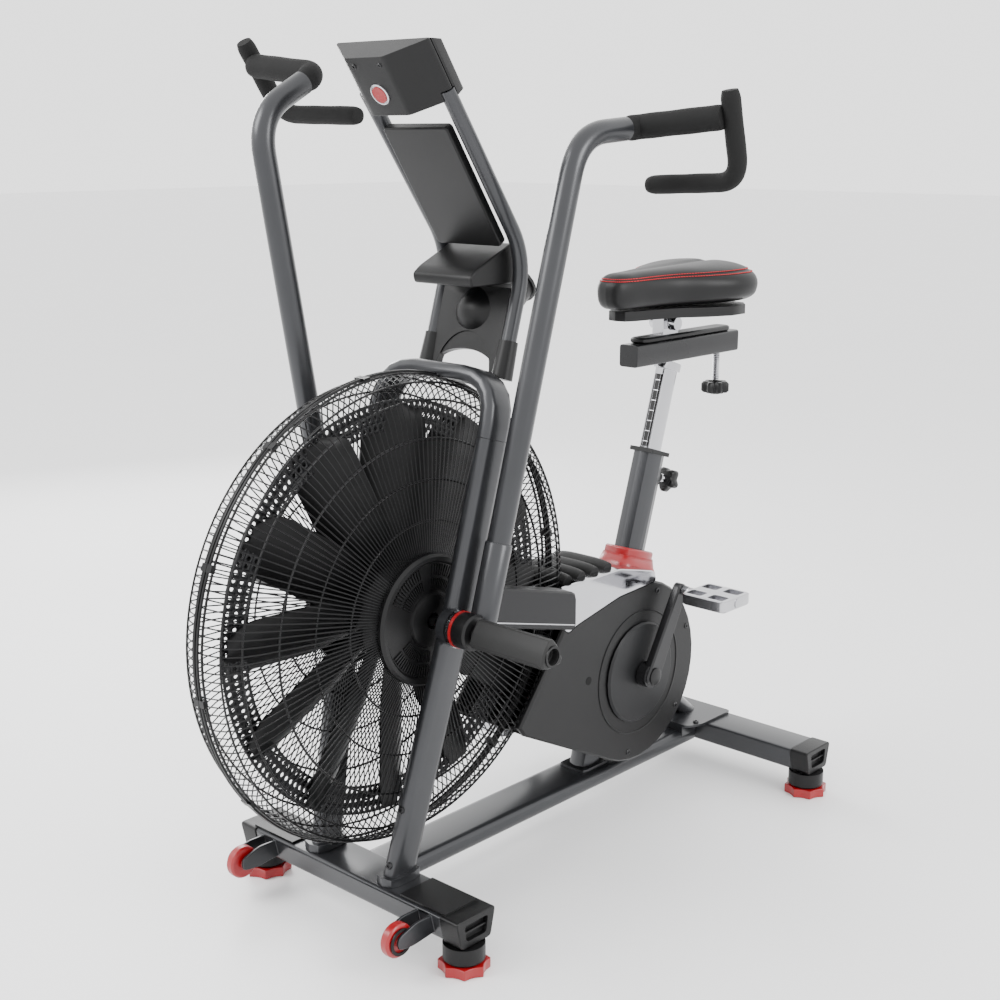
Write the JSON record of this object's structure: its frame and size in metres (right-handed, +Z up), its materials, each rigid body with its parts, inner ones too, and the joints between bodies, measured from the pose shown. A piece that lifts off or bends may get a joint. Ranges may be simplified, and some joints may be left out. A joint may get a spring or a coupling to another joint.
{
  "type": "air bike",
  "caption": "Upright stationary bike with a large caged fan as resistance, swinging handlebars, cranks with open pedals, console mast and adjustable saddle.",
  "frame": {"origin": "on the floor under the middle of the bike's box", "axes": "+Z up, -Y to the front where the fan is and the rider faces, +X to the rider's left"},
  "size_m": [0.772, 1.334, 1.4286],
  "materials": {
    "frame_paint": "satin metallic dark grey",
    "black_plastic": "fine textured",
    "red_plastic": "satin",
    "grey_plastic": "matte",
    "display": "gloss",
    "cage_wire": "semi-gloss black",
    "fan_paint": "satin black",
    "bare_metal": "machined",
    "belt_rubber": "matte",
    "chrome": "polished",
    "black_steel": "semi-gloss black",
    "pedal_metal": "polished",
    "vinyl": "fine grain",
    "foam": "closed cell foam",
    "peg_rubber": "ribbed"
  },
  "bodies": {
    "frame": {"front_stabilizer": "frame_paint", "rear_stabilizer": "frame_paint", "main_beam": "frame_paint", "fork_leg_left": "frame_paint", "fork_leg_right": "frame_paint", "fork_arch": "frame_paint", "mast_tube_left": "frame_paint", "mast_tube_right": "frame_paint", "seat_tube": "frame_paint", "front_cap_left": "black_plastic", "front_cap_right": "black_plastic", "rear_cap_left": "black_plastic", "rear_cap_right": "black_plastic", "bottle_holder": "black_plastic", "media_tray": "black_plastic", "back_panel": "black_plastic", "console_housing": "black_plastic", "console_face": "black_plastic", "shroud_left": "black_plastic", "shroud_right": "black_plastic", "link_cover_left": "black_plastic", "link_cover_right": "black_plastic", "seat_collar": "red_plastic", "console_lens": "display", "fan_cage_left": "cage_wire", "fan_cage_right": "cage_wire", "primary_belt": "belt_rubber", "secondary_belt": "belt_rubber", "top_cover": "chrome", "foot_peg_left": "peg_rubber", "foot_peg_right": "peg_rubber"},
    "front_foot_left_body": {"front_foot_left": "red_plastic"},
    "front_foot_right_body": {"front_foot_right": "red_plastic"},
    "rear_foot_left_body": {"rear_foot_left": "red_plastic"},
    "rear_foot_right_body": {"rear_foot_right": "red_plastic"},
    "transport_wheel_left_body": {"transport_wheel_left": "red_plastic"},
    "transport_wheel_right_body": {"transport_wheel_right": "red_plastic"},
    "jackshaft_body": {"jackshaft": "bare_metal"},
    "pedal_left_body": {"pedal_left": "pedal_metal"},
    "pedal_right_body": {"pedal_right": "pedal_metal"},
    "link_rod_left_body": {"link_rod_left": "black_steel"},
    "link_rod_right_body": {"link_rod_right": "black_steel"},
    "pop_pin_body": {"pop_pin": "black_plastic"},
    "rail_knob_body": {"rail_knob": "black_plastic"},
    "console_button_start_body": {"console_button_start": "grey_plastic"},
    "console_button_stop_body": {"console_button_stop": "red_plastic"},
    "fan_body": {"fan_wheel": "fan_paint"},
    "crank_body": {"crank_spindle": "bare_metal", "crank_arm_left": "black_steel", "crank_arm_right": "black_steel", "crank_disc_left": "grey_plastic", "crank_disc_right": "grey_plastic"},
    "handle_left_body": {"handlebar_left": "frame_paint", "grip_left": "foam"},
    "handle_right_body": {"handlebar_right": "frame_paint", "grip_right": "foam"},
    "seat_post_body": {"seat_post": "chrome", "seat_rail": "black_steel"},
    "saddle_body": {"saddle_carriage": "chrome", "saddle": "vinyl"}
  },
  "joints": [
    {"name": "crank_spin", "type": "hinge", "parent": "frame", "child": "crank_body", "pos_m": [0, 0.277, 0.278], "axis": [1, 0, 0], "continuous": true},
    {"name": "pedal_left_spin", "type": "hinge", "parent": "crank_body", "child": "pedal_left_body", "pos_m": [0.196, 0.36039, 0.42843], "axis": [1, 0, 0], "continuous": true},
    {"name": "pedal_right_spin", "type": "hinge", "parent": "crank_body", "child": "pedal_right_body", "pos_m": [-0.196, 0.19361, 0.12757], "axis": [1, 0, 0], "continuous": true},
    {"name": "jackshaft_spin", "type": "hinge", "parent": "frame", "child": "jackshaft_body", "pos_m": [0, 0.139, 0.412], "axis": [1, 0, 0], "continuous": true},
    {"name": "fan_spin", "type": "hinge", "parent": "frame", "child": "fan_body", "pos_m": [0, -0.283, 0.517], "axis": [1, 0, 0], "continuous": true},
    {"name": "handle_left_swing", "type": "hinge", "parent": "frame", "child": "handle_left_body", "pos_m": [0.171, -0.283, 0.517], "axis": [1, 0, 0], "range_deg": [-1.5, 24.5]},
    {"name": "handle_right_swing", "type": "hinge", "parent": "frame", "child": "handle_right_body", "pos_m": [-0.171, -0.283, 0.517], "axis": [1, 0, 0], "range_deg": [-24.6, 1.6]},
    {"name": "link_rod_left_slide", "type": "slide", "parent": "frame", "child": "link_rod_left_body", "axis": [0, 0.9684, -0.2493], "range_m": [-0.0015, 0.0195]},
    {"name": "link_rod_right_slide", "type": "slide", "parent": "frame", "child": "link_rod_right_body", "axis": [0, 0.9684, -0.2493], "range_m": [-0.0195, 0.0015]},
    {"name": "front_foot_left_turn", "type": "hinge", "parent": "frame", "child": "front_foot_left_body", "pos_m": [0.242, -0.368, 0.009], "axis": [0, 0, 1], "range_deg": [-180, 180]},
    {"name": "front_foot_right_turn", "type": "hinge", "parent": "frame", "child": "front_foot_right_body", "pos_m": [-0.242, -0.368, 0.009], "axis": [0, 0, 1], "range_deg": [-180, 180]},
    {"name": "rear_foot_left_turn", "type": "hinge", "parent": "frame", "child": "rear_foot_left_body", "pos_m": [0.287, 0.563, 0.009], "axis": [0, 0, 1], "range_deg": [-180, 180]},
    {"name": "rear_foot_right_turn", "type": "hinge", "parent": "frame", "child": "rear_foot_right_body", "pos_m": [-0.287, 0.563, 0.009], "axis": [0, 0, 1], "range_deg": [-180, 180]},
    {"name": "transport_wheel_left_spin", "type": "hinge", "parent": "frame", "child": "transport_wheel_left_body", "pos_m": [0.19, -0.4635, 0.0686], "axis": [1, 0, 0], "continuous": true},
    {"name": "transport_wheel_right_spin", "type": "hinge", "parent": "frame", "child": "transport_wheel_right_body", "pos_m": [-0.19, -0.4635, 0.0686], "axis": [1, 0, 0], "continuous": true},
    {"name": "seat_height", "type": "slide", "parent": "frame", "child": "seat_post_body", "axis": [0, 0.2996, 0.9541], "range_m": [-0.1, 0.06]},
    {"name": "saddle_fore_aft", "type": "slide", "parent": "seat_post_body", "child": "saddle_body", "axis": [0, 1, 0], "range_m": [-0.04, 0.04]},
    {"name": "rail_knob_turn", "type": "hinge", "parent": "seat_post_body", "child": "rail_knob_body", "pos_m": [0, 0.621, 0.775], "axis": [0, 0, 1], "range_deg": [-180, 180]},
    {"name": "pop_pin_pull", "type": "slide", "parent": "frame", "child": "pop_pin_body", "axis": [0, 0.9541, -0.2996], "range_m": [0, 0.01], "stiffness_N_per_m": 1500, "springref_m": -0.006},
    {"name": "console_button_start_press", "type": "slide", "parent": "frame", "child": "console_button_start_body", "axis": [0, -0.8308, -0.5566], "range_m": [0, 0.002], "stiffness_N_per_m": 400, "springref_m": -0.002},
    {"name": "console_button_stop_press", "type": "slide", "parent": "frame", "child": "console_button_stop_body", "axis": [0, -0.8308, -0.5566], "range_m": [0, 0.002], "stiffness_N_per_m": 400, "springref_m": -0.002}
  ],
  "couplings": [
    {"joint": "jackshaft_spin", "follows": "crank_spin", "ratio": 4},
    {"joint": "fan_spin", "follows": "crank_spin", "ratio": 5.8182},
    {"joint": "handle_right_swing", "follows": "handle_left_swing", "ratio": -1},
    {"joint": "link_rod_left_slide", "follows": "handle_left_swing", "m_per_rad": 0.045},
    {"joint": "link_rod_right_slide", "follows": "handle_left_swing", "m_per_rad": -0.045}
  ]
}
